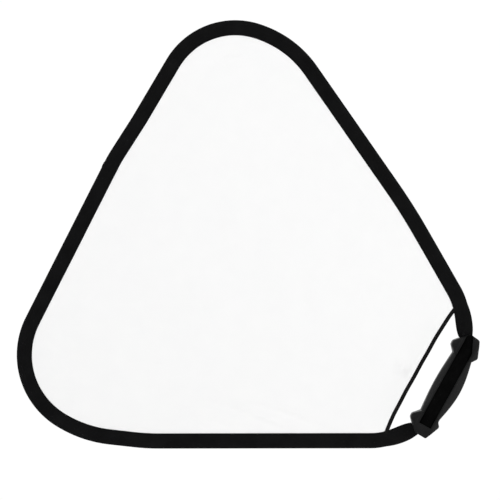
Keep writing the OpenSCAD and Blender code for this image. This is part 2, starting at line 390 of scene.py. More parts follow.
def both_faces(half):
    """A closed section from its front half: offsets, heights (front first) and distances round it."""
    line = np.array([(e, -h) for e, h in half] + [(e, h) for e, h in half[-2:0:-1]])
    e, y = line[:, 0], line[:, 1]
    return e, y, np.r_[0, np.cumsum(np.hypot(np.diff(e), np.diff(y)))]


def stitch(length, radius, flat, sides=6):
    """A small rounded stitch along X, lying on the XZ plane: its points and faces."""
    rings = []
    for t, share in ((-0.5, 0.15), (-0.42, 0.7), (-0.2, 1.0), (0.2, 1.0), (0.42, 0.7), (0.5, 0.15)):
        angles = np.arange(sides) * 2 * math.pi / sides
        rings.append(np.column_stack([np.full(sides, t * length), np.sin(angles) * radius * flat * share,
                                      np.cos(angles) * radius * share]))
    return tube(rings)


def lay_stitch(thread, verts, faces, uvs, s, at, y, along, across):
    """Adds one stitch to a mesh in the making, at a point of the cloth and a length s along it."""
    points, thread_faces = thread
    x = points[:, 0, None] * along + points[:, 2, None] * across
    base = len(verts)
    verts.extend(np.column_stack([at[0] + x[:, 0], y + points[:, 1], at[1] + x[:, 1]]))
    uvs.extend(np.column_stack([s + points[:, 0], points[:, 2]]))
    faces.extend(tuple(base + i for i in f) for f in thread_faces)


def dress(obj, stands_for, slot, material):
    """Which CAD node a finished piece stands for, its slot and its material."""
    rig.replaces(obj, stands_for)
    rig.slot(obj, slot)
    obj.data.materials.clear()
    obj.data.materials.append(materials[material])


# ---- the fabric rim ----
# Half of its section, as offset from the band and half thickness: round over the band, flat at the hem
RIM_SECTION = [(-4.0, 0.0), (-3.85, 1.1), (-3.3, 2.2), (-2.3, 3.1), (-0.9, 3.7), (0.7, 3.8), (2.2, 3.35),
               (3.5, 2.6), (4.8, 1.9), (6.2, 1.5), (8.0, 1.35), (10.5, 1.3), (12.0, 1.25), (12.7, 1.0),
               (13.3, 0.95), (13.9, 1.15), (14.6, 1.15), (15.2, 0.9), (15.5, 0.0)]
RIM_STEP = 3.0                    # between its rings
RIM_THREAD = (2.7, 0.36, 0.75)    # length, radius and flatness of a stitch
STITCH_E = 13.0
STITCH_PITCH = 3.6
STITCH_MARGIN = 1.5               # no stitch lies nearer than this to a piece's end
STITCH_SUNK = 0.12
STITCH_SLANT = 0.10
SQUEEZE_FROM = 3.0                # the rim keeps its shape at this offset where its width changes
FERRULE_SWELL, SWELL_REACH = 0.8, 14.0
RIM_BLEND = 0.38                  # of a link's length, to each side of the hinge that the cloth bends over
LAP_BEFORE, LAP_AFTER, LAP_GROW = 1.0, 6.0, 0.5      # the fold of cloth over the rim's joint
PUCKER = 0.11                     # unevenness of the sewn fabric


def from_mouth(s):
    """Length from the nearer mouth of the handle."""
    return np.minimum(s, LOOP - s) - MOUTH_S


def rim_edge(s):
    """Offset of the rim's inner edge."""
    return RIM_PROUD + RIM_IN - (RIM_IN - MOUTH_IN) * np.exp(-from_mouth(s) / MOUTH_RELAX)


def rim_outer(s):
    """Width of the rim outside the band."""
    return RIM_PROUD + np.interp(from_mouth(s), *zip(*MOUTH_OUTER))


def squeeze(e, s):
    """An offset drawn for the full width, moved to suit the rim's width at s."""
    e = np.asarray(e, float)
    inner = SQUEEZE_FROM + (e - SQUEEZE_FROM) * (rim_edge(s) - SQUEEZE_FROM) / (RIM_IN - SQUEEZE_FROM)
    outer = SQUEEZE_FROM + (e - SQUEEZE_FROM) * (rim_outer(s) + SQUEEZE_FROM) / (RIM_OUT + SQUEEZE_FROM)
    return np.where(e > SQUEEZE_FROM, inner, outer)


def swell(s):
    """The rim is a little thicker over the ferrule that joins the band's ends."""
    return FERRULE_SWELL * np.clip(1.6 - abs(s - JOINT_S) / SWELL_REACH, 0, 1)


def pucker(s, e, front):
    """How much thicker the sewn fabric is at a place than its section says."""
    phase = 0.0 if front else 2.1
    slow = np.sin(s / 17.0 + phase) + 0.6 * np.sin(s / 7.3 + 1.7 * phase + e / 5)
    return PUCKER * slow * np.clip((e + 4) / 8, 0, 1)


def rim_ring(s, grow=0.0):
    """One closed ring of the rim's surface at length s, and each point's distance round it."""
    e, y, around = both_faces(RIM_SECTION)
    y = y + np.sign(y) * np.where(y < 0, pucker(s, e, True), pucker(s, e, False))
    y = y + np.sign(y) * (grow + swell(s) * np.clip((7 - e) / 4, 0, 1))
    e = squeeze(e, s) - grow * (e < 0)
    p, _ = on_band(np.full(len(e), s), e)
    return np.column_stack([p[:, 0], y, p[:, 1]]), around


def rim_surface(s, e, front):
    """The rim's surface height at offset e, for stitches to lie on."""
    table_e, table_h = zip(*RIM_SECTION)
    h = np.interp(e, table_e, table_h) + pucker(s, e, front)
    return -h if front else h


def add_stitches(verts, faces, uvs, s0, s1):
    """Thread along the hem, on both faces of the rim."""
    thread = stitch(*RIM_THREAD)
    for k in range(math.ceil(s0 / STITCH_PITCH), math.floor(s1 / STITCH_PITCH) + 1):
        s = k * STITCH_PITCH
        if not s0 + STITCH_MARGIN < s < s1 - STITCH_MARGIN:
            continue
        p, n = on_band([s], [float(squeeze(STITCH_E, s))])
        along = np.array([n[0, 1], -n[0, 0]])
        for front in (True, False):
            sign = -1 if front else 1
            y = rim_surface(s, STITCH_E, front) + sign * STITCH_SUNK
            lay_stitch(thread, verts, faces, uvs, s, p[0], y, along - sign * STITCH_SLANT * n[0], n[0])


def rim_piece(name, s0, s1, grow=0.0, stitched=True):
    """A stretch of the rim from s0 to s1 along the whole route."""
    count = max(3, int(round((s1 - s0) / RIM_STEP)) + 1)
    rings, uvs = [], []
    for s in np.linspace(s0, s1, count):
        ring, around = rim_ring(s, grow)
        rings.append(ring)
        uvs.extend(np.column_stack([np.full(len(around), s), around]))
    verts, faces = tube(rings)
    verts = list(verts)
    if stitched:
        add_stitches(verts, faces, uvs, s0, s1)
    return closed(name, verts, faces, uvs, sharp_from=60)


def link_rim(side, i, mids):
    """The stretch of the rim from the middle of one link to the middle of the next, bent at the hinge."""
    h = HINGES[side]
    ends = sorted((to_route(side, mids[i]), to_route(side, mids[i + 1])))
    obj = rim_piece(f"rim_{side}{i + 1:02d}", *ends)
    reach = RIM_BLEND * (h[i + 1] - h[i])
    start = max(h[i] - reach, MOUTH_S + 3)
    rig.blend(obj, body_name(side, i), body_name(side, i + 1),
             start=band_in_frame(to_route(side, start)), end=band_in_frame(to_route(side, h[i] + reach)))
    return obj


def build_rim():
    made = []
    for side in SIDES:
        h = HINGES[side]
        mids = [MOUTH_S] + [(h[i] + h[i + 1]) / 2 for i in range(LINKS)]
        made += [link_rim(side, i, mids) for i in range(LINKS)]
        last = body_name(side, LINKS)
        end = sorted((to_route(side, mids[-1]), JOINT_S))
        made.append(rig.ride(rim_piece(f"rim_{side}_end", *end), last))
        if side == "a":
            lap = rim_piece("rim_a_lap", JOINT_S - LAP_BEFORE, JOINT_S + LAP_AFTER, LAP_GROW, stitched=False)
            made.append(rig.ride(lap, last))
    for obj in made:
        dress(obj, "rim_sleeve", "rim_fabric", "rim")


# ---- the white sheet ----
# Creases: from (x, z) to (x, z), half width and height
CREASES = [
    ((-150, -64), (-250, -28), 2.8, 1.25), ((-210, -62), (-304, -26), 3.0, 1.15),
    ((-185, -64), (-262, -40), 2.4, -0.95), ((-262, -64), (-318, -48), 2.4, 0.75),
    ((-262, 440), (-322, 385), 3.0, 0.45), ((-235, 430), (-300, 412), 2.6, -0.40),
    ((-300, 452), (-345, 400), 2.4, 0.35), ((-20, 150), (-75, 160), 3.2, 0.30),
    ((-520, 60), (-470, 30), 3.2, 0.35), ((-515, 20), (-460, 5), 3.0, -0.30),
    ((-74, 4), (-114, -17), 4.5, -0.80)]
CREASE_BOW = 0.05     # of a crease's length
WAVES = (             # height, lengths in x and in z, and phase
    (0.35, 61, 97, 0.0), (0.28, -118, 53, 1.3), (0.16, 29, 37, 0.0))
PULL = (-47.5, 18.0, 6.5, 6.0)       # the cloth bulges forward beside the bound edge: x, z, radius, height
SHEET_TAUT = 28.0     # the sheet lies flat at its edge, and waves fully only further in than this
GORE_STEP = 2.8       # along a piece's edge
GORE_ROWS = 36        # and from its edge inwards, closer together towards the edge
ROW_GROWTH = 1.4
GORE_LAP = 0.4        # a piece runs this far under its neighbours, and is thinner there on each side
LAP_THINNER = 0.1
BOUNDARY_STEP = 1.5
FURTHEST, HALVINGS, SLACK = 400.0, 18, 0.08       # of the search for how far a piece reaches inwards
GORE_DEPTH = 46.0     # how deep the gathered sheet stands inside the rim when the panel is coiled
ROOT_HALF = 48.0      # past this, each way from the handle's middle, the sheet turns with the first link


def crease(x, z, start, end, width, height):
    """Height of one slightly bowed crease, which fades out towards its ends."""
    a, b = np.array(start, float), np.array(end, float)
    d = b - a
    t = ((x - a[0]) * d[0] + (z - a[1]) * d[1]) / (d @ d)
    off = ((x - a[0]) * d[1] - (z - a[1]) * d[0]) / np.linalg.norm(d)
    inside = np.clip(t, 0, 1)
    fade = np.sin(np.pi * np.clip((t + 0.25) / 1.5, 0, 1)) ** 2
    bow = off - CREASE_BOW * np.linalg.norm(d) * np.sin(np.pi * inside)
    return height * fade * np.exp(-(bow / width) ** 2 / 2)


def sheet_height(x, z):
    """How far the sheet stands behind the rim's middle plane, in millimetres."""
    w = sum(height * np.sin(x / along_x + z / along_z + phase) for height, along_x, along_z, phase in WAVES)
    for start, end, width, height in CREASES:
        w = w + crease(x, z, start, end, width, height)
    px, pz, radius, height = PULL
    return w - height * np.exp(-((x - px) ** 2 + (z - pz) ** 2) / (2 * radius ** 2))


def sheet_slope(x, z, step=0.05):
    """Slopes of the sheet's height along x and along z."""
    return ((sheet_height(x + step, z) - sheet_height(x - step, z)) / (2 * step),
            (sheet_height(x, z + step) - sheet_height(x, z - step)) / (2 * step))


def gap_meets_rim(side):
    """Where the sheet's hem meets the bound edge: length from the handle, and distance along the grip."""
    low, high = MOUTH_S, MOUTH_S + 80.0
    for _ in range(40):
        s = (low + high) / 2
        p, _ = on_band([to_route(side, s)], [SHEET_E])
        u, v = p[0] @ GRIP_DIR, p[0] @ GRIP_IN
        if v < gap_edge(u):
            low = s
        else:
            high = s
    return (low + high) / 2, float(u)


def reach_inwards(points, normals, boundary):
    """How far each point can go along its normal before another stretch of the boundary is nearer."""
    low, high = np.zeros(len(points)), np.full(len(points), FURTHEST)
    for _ in range(HALVINGS):
        middle = (low + high) / 2
        q = points + normals * middle[:, None]
        nearest = np.sqrt(((q[:, None, :] - boundary[None]) ** 2).sum(-1).min(1))
        inside = nearest > middle - SLACK
        low, high = np.where(inside, middle, low), np.where(inside, high, middle)
    return low


def gore_faces(columns, rows):
    """Faces of a closed sheet with columns x rows points a side: its two sides, and then its edge.
    The second value is how many faces the edge has."""
    size = columns * rows
    faces = []
    for i in range(columns - 1):
        for j in range(rows - 1):
            a, b = i * rows + j, (i + 1) * rows + j
            faces.append((a, b, b + 1, a + 1))
            faces.append((size + a + 1, size + b + 1, size + b, size + a))
    first, last = range(columns), range(columns - 2, -1, -1)
    edge = ([i * rows for i in first] + [(columns - 1) * rows + j for j in range(1, rows)]
            + [i * rows + rows - 1 for i in last] + list(range(rows - 2, 0, -1)))
    for a, b in zip(edge, edge[1:] + edge[:1]):
        faces.append((b, a, size + a, size + b))
    return faces, len(edge)


def gore_normals(x, z, share, fade, inwards):
    """Normals of the front, from the slopes of the faded height."""
    sx, sz = sheet_slope(x, z)
    rise = sheet_height(x, z) * 6 * share * (1 - share) / SHEET_TAUT
    sx, sz = sx * fade + rise * inwards[:, 0], sz * fade + rise * inwards[:, 1]
    n = np.column_stack([sx, -np.ones(len(x)), sz])
    return n / np.linalg.norm(n, axis=1, keepdims=True)


def gore_mesh(name, points, normals, depth):
    """A thin closed piece of the sheet, from its edge inwards, shaded by the sheet's own slopes."""
    columns, rows = len(points), GORE_ROWS
    t = (np.arange(rows - 1) / (rows - 2)) ** ROW_GROWTH
    lap = np.minimum(GORE_LAP, 0.3 * depth)[:, None]
    run = np.hstack([(depth[:, None] - lap) * t[None], depth[:, None] + lap])
    grid = points[:, None, :] + normals[:, None, :] * run[..., None]
    x, z, run = grid[..., 0].ravel(), grid[..., 1].ravel(), run.ravel()
    share = np.clip(run / SHEET_TAUT, 0, 1)
    fade = share * share * (3 - 2 * share)
    w = sheet_height(x, z) * fade
    half = np.full((columns, rows), SHEET_T / 2)
    half[:, -1] -= LAP_THINNER
    half = half.ravel()
    verts = np.vstack([np.column_stack([x, w - half, z]), np.column_stack([x, w + half, z])])
    faces, edge_faces = gore_faces(columns, rows)
    obj = make_object(name, verts, faces, np.column_stack([np.r_[x, x], np.r_[z, z]]))
    mesh = obj.data
    if mesh.polygons[0].normal.y > 0:       # the front looks towards -Y
        mesh.flip_normals()
    front = gore_normals(x, z, share, fade, np.repeat(normals, rows, axis=0))
    loops = np.empty(len(mesh.loops), int)
    mesh.loops.foreach_get("vertex_index", loops)
    custom = np.vstack([front, -front])[loops]
    for poly in mesh.polygons[-edge_faces:]:
        custom[poly.loop_start:poly.loop_start + poly.loop_total] = poly.normal[:]
    mesh.normals_split_custom_set([tuple(c) for c in custom])
    return obj


def declare_sheet(obj, points, normals, depth):
    """Tell the frame how big a piece of cloth this is."""
    outline = np.vstack([points, (points + normals * depth[:, None])[::-1]])
    x, z = outline[:, 0], outline[:, 1]
    area = abs(np.dot(x, np.roll(z, -1)) - np.dot(z, np.roll(x, -1))) / 2
    d = unit(points[-1] - points[0])
    across = (outline - points[0]) @ left(d)
    run = (outline - points[0]) @ d
    flat = (np.ptp(run) * MM, np.ptp(across) * MM)
    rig.sheet(obj, flat=flat, held="stretched", rests_on=["rim_sleeve"], area=area * MM * MM)


def gore(name, points, normals, boundary):
    """One declared piece of the sheet; also how deep it reaches."""
    depth = reach_inwards(points, normals, boundary)
    obj = gore_mesh(name, points, normals, depth)
    declare_sheet(obj, points, normals, depth)
    return obj, depth.max()


def link_gore(side, i, start, boundary):
    """A piece of the sheet that hangs on one link's rim, or None where the rim has no sheet yet."""
    h = HINGES[side]
    s0, s1 = max(h[i], start), h[i + 1]
    if s1 - s0 < 2:
        return None
    s = np.linspace(s0, s1, max(3, int((s1 - s0) / GORE_STEP) + 1))
    points, normals = on_band(to_route(side, s), np.full(len(s), SHEET_E))
    obj, deepest = gore(f"sheet_{side}{i + 1:02d}", points, normals, boundary)
    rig.ride(obj, body_name(side, i + 1))
    axis = left(unit(points[-1] - points[0])) * SIDES[side]
    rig.squash(obj, f"fold_{side}{i + 1}", axis=(axis[0], 0, axis[1]),
              anchor=band_in_frame(to_route(side, (h[i] + h[i + 1]) / 2), SHEET_E + 2),
              keep=float(min(1.0, GORE_DEPTH / deepest)))
    return obj


def root_gore(name, u0, u1, boundary):
    """A piece of the sheet that hangs on the bound edge."""
    points, _, normals = gap_frame(np.linspace(u0, u1, max(3, int((u1 - u0) / GORE_STEP))))
    return gore(name, points, normals, boundary)[0]


def root_blend(side):
    """Between which two points the cloth beside the handle turns from the handle to the first link."""
    sign, (_, end) = SIDES[side], gap_meets_rim(side)
    return {"start": in_frame(in_grip(sign * ROOT_HALF, GAP_V)),
            "end": in_frame(in_grip(sign * (abs(end) - 2), float(gap_edge(end))))}


def root_gores(low, high, boundary):
    """The sheet beside the handle: its middle rides on the handle, and its two corners are blended."""
    middle = root_gore("sheet_root", -ROOT_HALF, ROOT_HALF, boundary)
    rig.ride(middle, "handle")
    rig.squash(middle, "fold_a1", axis=(GRIP_IN[0], 0, GRIP_IN[1]),
              anchor=in_frame(in_grip(0.0, GAP_V)), keep=0.3)
    made = [middle]
    for side, u0, u1 in (("a", ROOT_HALF, high - 0.5), ("b", low + 0.5, -ROOT_HALF)):
        obj = root_gore(f"sheet_root_{side}", u0, u1, boundary)
        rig.blend(obj, "handle", f"link_{side}1", **root_blend(side))
        made.append(obj)
    return made


def build_sheet():
    ends = {side: gap_meets_rim(side) for side in SIDES}
    hem_s = np.arange(ends["a"][0], LOOP - ends["b"][0], BOUNDARY_STEP)
    hem, _ = on_band(hem_s, np.full(len(hem_s), SHEET_E))
    low, high = -abs(ends["b"][1]), abs(ends["a"][1])
    boundary = np.vstack([hem, gap_frame(np.arange(low, high, BOUNDARY_STEP))[0]])
    made = [link_gore(side, i, ends[side][0] + 0.5, boundary) for side in SIDES for i in range(LINKS)]
    made += root_gores(low, high, boundary)
    for obj in filter(None, made):
        dress(obj, "white_sheet", "sheet_fabric", "sheet")


# ---- the binding on the edge beside the handle ----
BINDING_SECTION = [(-2.6, 0.0), (-2.5, 0.55), (-2.1, 0.95), (-1.2, 1.1), (0.2, 1.05), (1.3, 0.95),
                   (2.1, 0.85), (2.5, 0.6), (2.6, 0.0)]
BINDING_STEP = 2.5
BINDING_THREAD = (1.9, 0.28, 0.7)            # length, radius and flatness of a stitch
BINDING_PITCH = 2.6
BINDING_STITCH = (1.2, 1.02)                 # how far in the thread lies, and how far from the middle plane
BINDING_WAVER, BINDING_WAVE = 0.12, 0.06     # of its line sideways, and of its thickness as a share


def binding_piece(name, u0, u1):
    """A stretch of the folded tape on the bound edge, with its thread."""
    across, y, around = both_faces(BINDING_SECTION)
    rings, uvs = [], []
    for u in np.linspace(u0, u1, max(4, int(abs(u1 - u0) / BINDING_STEP))):
        edge, _, normal = (found[0] for found in gap_frame(u))
        p = edge + (across[:, None] + BINDING_WAVER * math.sin(u / 6.1)) * normal
        wave = BINDING_WAVE * np.sin(u / 4.3 + 3 * np.sign(y))
        rings.append(np.column_stack([p[:, 0], y * (1 + wave), p[:, 1]]))
        uvs.extend(np.column_stack([np.full(len(y), u), around]))
    verts, faces = tube(rings)
    verts = list(verts)
    thread = stitch(*BINDING_THREAD)
    inwards, height = BINDING_STITCH
    first, last = math.ceil(min(u0, u1) / BINDING_PITCH), math.floor(max(u0, u1) / BINDING_PITCH)
    for u in (k * BINDING_PITCH for k in range(first, last + 1)):
        edge, along, normal = (found[0] for found in gap_frame(u))
        for front in (-1, 1):
            lay_stitch(thread, verts, faces, uvs, u, edge + inwards * normal, front * height, along, normal)
    return closed(name, verts, faces, uvs, sharp_from=60)


def build_binding():
    for side, sign in SIDES.items():
        _, end = gap_meets_rim(side)
        obj = binding_piece(f"binding_{side}", 0.0, sign * (abs(end) + 1.0))
        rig.blend(obj, "handle", f"link_{side}1", **root_blend(side))
        dress(obj, "gap_binding", "binding_tape", "binding")


# ---- the handle ----
BARREL_HALF = 45.0
BARREL_END = (-20.3, 6.6)        # lowest and highest v where the barrel ends, and how far its belly goes past
BARREL_BELLY = (7.3, 2.7)
BARREL_Y, BARREL_FLAT = 16.0, (-17.0, 3.0)
FLANGE_Y, FLANGE_FLAT = 19.5, (-18.0, 5.0)
BARREL_SLOPE = (0.98, 0.60)      # of the bevels on the outer and inner side
FLANGE_SLOPE = (0.93, 1.05)
FLANGE_TOP = [(43, -20.5, 1), (50.3, -26.3, 3.5), (72.8, -16.1, 4), (74.5, -2.5, 5), (57, 14.1, 3.5),
              (51, 14.1, 3.5), (43, 6, 1)]
FLANGE_BOTTOM = [(-43, 6, 1), (-51.8, 14.9, 3.5), (-57, 14.8, 3.5), (-72, 0.2, 5), (-72.6, -15.8, 2.5),
                 (-51.5, -25.6, 3.5), (-46.5, -20.8, 1.5), (-43, -20.3, 1)]
STRIP_V = (-15.5, 1.5)
STRIP_FLOOR = 14.0
STRIP_TOP = 16.0
STRIP_END = -58.0
STRIP_BEND, STRIP_SLOPE = 52.2, 0.46     # past this its outer edge runs beside the flange's, at this slope
REAR_STRIP_HALF = 42.0
PARTING = 0.3
END_ROUND = 2.6
FLANGE_START, FLANGE_RISE = 43.0, 1.2    # where a flange starts, and over what length it stands up
GROOVE_MARGIN = 0.6                      # least wall beside the strip's groove
SEAT_RISE = 5.0                          # the front rises from the strip's top to a flange's over this
LIP, LIP_ROOM = 0.45, 0.55               # the groove's bevelled edge, and the flat kept beside it
LEAST_BEVEL = 1.5
LEAST_GROOVE = 0.2
EDGE_STEP = 0.02                         # keeps two points of a sharp edge apart
OUTER_ROUND, INNER_ROUND = 3.2, 3.0      # of the bevels' two edges
# Distances from the middle to the sections of a flange, and from its end to the last ones
FLANGE_STATIONS = (42.9, 43.05, 43.15, 43.3, 43.5, 43.8, 44.2, 44.6, 45, 45.5, 46, 46.6, 47.5,
                   *range(49, 70, 2), 70.5)
END_STATIONS = (0.02, 0.12, 0.3, 0.6, 1.0, 1.5, 2.0, 2.6, 3.2)


def barrel_limits(u):
    """Lowest and highest v of the grip's barrel at u."""
    wave = math.cos(math.radians(90 * min(abs(u), BARREL_HALF) / BARREL_HALF))
    return BARREL_END[0] - BARREL_BELLY[0] * wave, BARREL_END[1] + BARREL_BELLY[1] * wave


def outline_points(outline):
    return rounded(outline, lambda turn: 8)[0]


FLANGES = {1: outline_points(FLANGE_TOP), -1: outline_points(FLANGE_BOTTOM)}
FLANGE_ENDS = {1: FLANGES[1][:, 0].max(), -1: FLANGES[-1][:, 0].min()}


def flange_limits(u):
    """Lowest and highest v of a flange's outline at u, or None beside it."""
    points = FLANGES[1 if u > 0 else -1]
    found = []
    for a, b in zip(points, np.roll(points, -1, axis=0)):
        if (a[0] - u) * (b[0] - u) <= 0 and abs(a[0] - b[0]) > 1e-9:
            found.append(a[1] + (b[1] - a[1]) * (u - a[0]) / (b[0] - a[0]))
    return (min(found), max(found)) if len(found) > 1 else None


def smooth_step(t):
    t = min(max(t, 0.0), 1.0)
    return t * t * (3 - 2 * t)


def lerp(a, b, t):
    return a + (b - a) * t


def soften(points, radii, steps=4):
    """A line of points with its corners rounded; always the same number of points for the same radii."""
    out = []
    for i, (p, r) in enumerate(zip(points, radii)):
        p = np.array(p, float)
        if r == 0:
            out.append(p)
            continue
        before, after = np.array(points[i - 1]) - p, np.array(points[i + 1]) - p
        cut = min(r, 0.45 * np.linalg.norm(before), 0.45 * np.linalg.norm(after))
        a, b = p + unit(before) * cut, p + unit(after) * cut
        for k in range(steps + 1):
            t = k / steps
            out.append((1 - t) ** 2 * a + 2 * t * (1 - t) * p + t * t * b)
    return np.array(out)


def strip_low(u):
    """The front strip's lower edge, as v at u."""
    return STRIP_V[0] + STRIP_SLOPE * max(u - STRIP_BEND, 0.0)


def handle_limits(u):
    """Lowest and highest v of the handle at u, and its share of the flange: 0 on the barrel, 1 on it."""
    low, high = barrel_limits(u)
    flange = flange_limits(u)
    if abs(u) < FLANGE_START or not flange:
        return low, high, 0.0
    step = min((abs(u) - FLANGE_START) / FLANGE_RISE, 1.0)
    if abs(u) <= BARREL_HALF:
        flange = min(low, flange[0]), max(high, flange[1])
    return (*flange, math.sqrt(1 - (1 - step) ** 2))


def half_thickness(u, share):
    """Half of the handle's thickness at u, rounded off at its ends."""
    end = abs(FLANGE_ENDS[1 if u > 0 else -1])
    over = min(max((abs(u) - (end - END_ROUND)) / END_ROUND, 0.0), 1.0)
    return lerp(BARREL_Y, FLANGE_Y, share) - END_ROUND * (1 - math.sqrt(1 - over * over))


def handle_section(u, rear):
    """Half of the handle's section at u, as (half thickness, v), from the sheet's side outwards."""
    low, high, share = handle_limits(u)
    y = half_thickness(u, share)
    slope_low, slope_high = (lerp(a, b, share) for a, b in zip(BARREL_SLOPE, FLANGE_SLOPE))
    flat_low, flat_high = (lerp(a, b, share) for a, b in zip(BARREL_FLAT, FLANGE_FLAT))
    grooved = abs(u) <= REAR_STRIP_HALF if rear else u >= STRIP_END
    g_low, g_high = max(strip_low(u), low + GROOVE_MARGIN), min(STRIP_V[1], high - GROOVE_MARGIN)
    y_low = y_high = y
    if grooved and not rear:
        seat = min(STRIP_TOP, y)
        y_high = lerp(seat, y, smooth_step((high - STRIP_V[1] - 0.5) / SEAT_RISE))
        y_low = lerp(seat, y, smooth_step((g_low - 0.5 - low) / SEAT_RISE))
    bevel_high = min(max(high - flat_high, LEAST_BEVEL), max(high - g_high - LIP_ROOM, 0.05))
    bevel_low = min(max(flat_low - low, LEAST_BEVEL), max(g_low - low - LIP_ROOM, 0.05))
    floor_high = min(STRIP_FLOOR, y_high - LEAST_GROOVE) if grooved else y_high
    floor_low = min(STRIP_FLOOR, y_low - LEAST_GROOVE) if grooved else y_low
    drop = LIP if grooved else 0.0
    points = [(0, high - PARTING), (PARTING, high), (max(y_high - bevel_high / slope_high, 1.0), high),
              (y_high, high - bevel_high), (y_high, g_high + LIP), (y_high - drop, g_high + EDGE_STEP),
              (floor_high, g_high), (floor_low, g_low), (y_low - drop, g_low - EDGE_STEP),
              (y_low, g_low - LIP), (y_low, low + bevel_low), (max(y_low - bevel_low / slope_low, 1.0), low),
              (PARTING, low), (0, low + PARTING)]
    return soften(points, [0, 0, OUTER_ROUND, INNER_ROUND, *[0] * 6, INNER_ROUND, OUTER_ROUND, 0, 0])


def handle_stations(rear):
    """Distances along the grip at which the handle's section is drawn: close together where it changes."""
    u = list(np.arange(-42, 43, 3.0))
    for sign, end in FLANGE_ENDS.items():
        u += [sign * x for x in FLANGE_STATIONS]
        u += [end - sign * x for x in END_STATIONS]
        if rear:
            u += [sign * REAR_STRIP_HALF, sign * (REAR_STRIP_HALF + 0.15)]
    if not rear:
        u += [STRIP_END, STRIP_END - 0.15]
    u = sorted(u)
    return [a for a, b in zip(u, u[1:] + [math.inf]) if b - a > 0.01]


def grip_to_world(u, y, v):
    """Points (x, y, z) of places along, in front of and across the grip."""
    p = in_grip(u, v)
    return np.column_stack([p[..., 0], np.broadcast_to(y, np.shape(p[..., 0])), p[..., 1]])


def handle_half(name, rear):
    """One of the handle's two shells, still solid."""
    rings = []
    for u in handle_stations(rear):
        section = handle_section(u, rear)
        y = section[:, 0] * (1 if rear else -1)
        rings.append(grip_to_world(np.full(len(section), u), y, section[:, 1]))
    return closed(name, *tube(rings))


def cut(obj, cutter):
    """Takes one mesh away from another."""
    modifier = obj.modifiers.new("cut", "BOOLEAN")
    modifier.operation, modifier.object, modifier.solver = "DIFFERENCE", cutter, "EXACT"
    evaluated = obj.evaluated_get(bpy.context.evaluated_depsgraph_get())
    mesh = bpy.data.meshes.new_from_object(evaluated)
    obj.modifiers.clear()
    obj.data = mesh
    bpy.data.objects.remove(cutter)


def cylinder(name, centre, radius, y0, y1, sides=40):
    """A closed cylinder along Y round an (x, z) centre."""
    angles = np.arange(sides) * 2 * math.pi / sides
    rings = [np.column_stack([centre[0] + radius * np.cos(angles), np.full(sides, y),
                              centre[1] + radius * np.sin(angles)]) for y in (y0, y1)]
    return closed(name, *tube(rings))


def passage(name, s0, s1, e0, e1, half_y, corner):
    """A closed channel along the band, with rounded corners."""
    section = []
    for (ce, cy), start in (((e1 - corner, half_y - corner), 0), ((e0 + corner, half_y - corner), 90),
                            ((e0 + corner, -half_y + corner), 180), ((e1 - corner, -half_y + corner), 270)):
        for k in range(5):
            a = math.radians(start + 22.5 * k)
            section.append((ce + corner * math.cos(a), cy + corner * math.sin(a)))
    section = np.array(section)
    rings = []
    for s in np.linspace(s0, s1, max(3, int((s1 - s0) / 4))):
        p, _ = on_band(np.full(len(section), s), section[:, 0])
        rings.append(np.column_stack([p[:, 0], section[:, 1], p[:, 1]]))
    return closed(name, *tube(rings))


SCREWS = [(56.0, -14.0), (-56.0, -14.0), (27.0, -19.0), (-27.0, -19.0)]
HEAD_R, SCREW_SEAT = 3.3, 6.5
PAST_REAR = 40.0                       # a cutter ends here, well behind the handle
CLAMP_BOX = (26.3, 7.8, -3.0, 4.0)     # half length, half thickness, lowest and highest v
# Channels along the band: lowest and highest offset, half thickness and corner radius
MOUTH_FROM, MOUTH_TO = 65.0, 100.0
MOUTH_CUT = (-11.0, 8.0, 4.5, 2.2)
BAND_WAY_HALF = 75.0
BAND_WAY = (-3.0, 3.0, 4.0, 0.8)


def clamp_pocket():
    length, half_y, v0, v1 = CLAMP_BOX
    rings = [grip_to_world(np.full(4, u), np.array([-half_y, half_y, half_y, -half_y]),
                           np.array([v0, v0, v1, v1])) for u in (-length, length)]
    return closed("pocket", *tube(rings))


def hollow(obj, rear):
    """Cuts the rim's mouths, the band's way, the clamp's pocket and the screw holes."""
    for s0, s1 in ((MOUTH_FROM, MOUTH_TO), (LOOP - MOUTH_TO, LOOP - MOUTH_FROM)):
        cut(obj, passage("mouth", s0, s1, *MOUTH_CUT))
    cut(obj, passage("band_way", -BAND_WAY_HALF, BAND_WAY_HALF, *BAND_WAY))
    cut(obj, clamp_pocket())
    if rear:
        for u, v in SCREWS:
            cut(obj, cylinder("counterbore", in_grip(u, v), HEAD_R, SCREW_SEAT, PAST_REAR))


def build_handle():
    for end, rear in (("front", False), ("rear", True)):
        obj = handle_half(f"handle_shell_{end}", rear)
        hollow(obj, rear)
        for poly in obj.data.polygons:
            poly.use_smooth = True
        sharpen(obj, 32)
        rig.ride(obj, "handle")
        dress(obj, f"handle_{end}", "handle_shell", "shell")


STRIP_PLAY, STRIP_WALL = 0.05, 0.75      # clearance in its groove, and from a flange's outline
STRIP_LIFT = 0.02                        # above the groove's floor


def strip_ring(u, rear, crown=0.35, edge=0.8):
    """One section of a soft strip: slightly domed, with rounded edges."""
    low, high = strip_low(u), STRIP_V[1]
    if not rear and u > 60:
        flange = flange_limits(u)
        low, high = max(low, flange[0] + STRIP_WALL), min(high, flange[1] - STRIP_WALL)
    low, high = low + STRIP_PLAY, high - STRIP_PLAY
    middle, half = (low + high) / 2, (high - low) / 2
    t = np.linspace(-1, 1, 13)
    rounding = edge * (np.maximum(0.0, abs(t) - 0.86) / 0.14) ** 2
    base = STRIP_FLOOR + STRIP_LIFT
    y = np.r_[base, STRIP_TOP - crown * t * t - rounding, base]
    v = np.r_[low, middle + half * t, high]
    return grip_to_world(np.full(len(y), u), y * (1 if rear else -1), v)


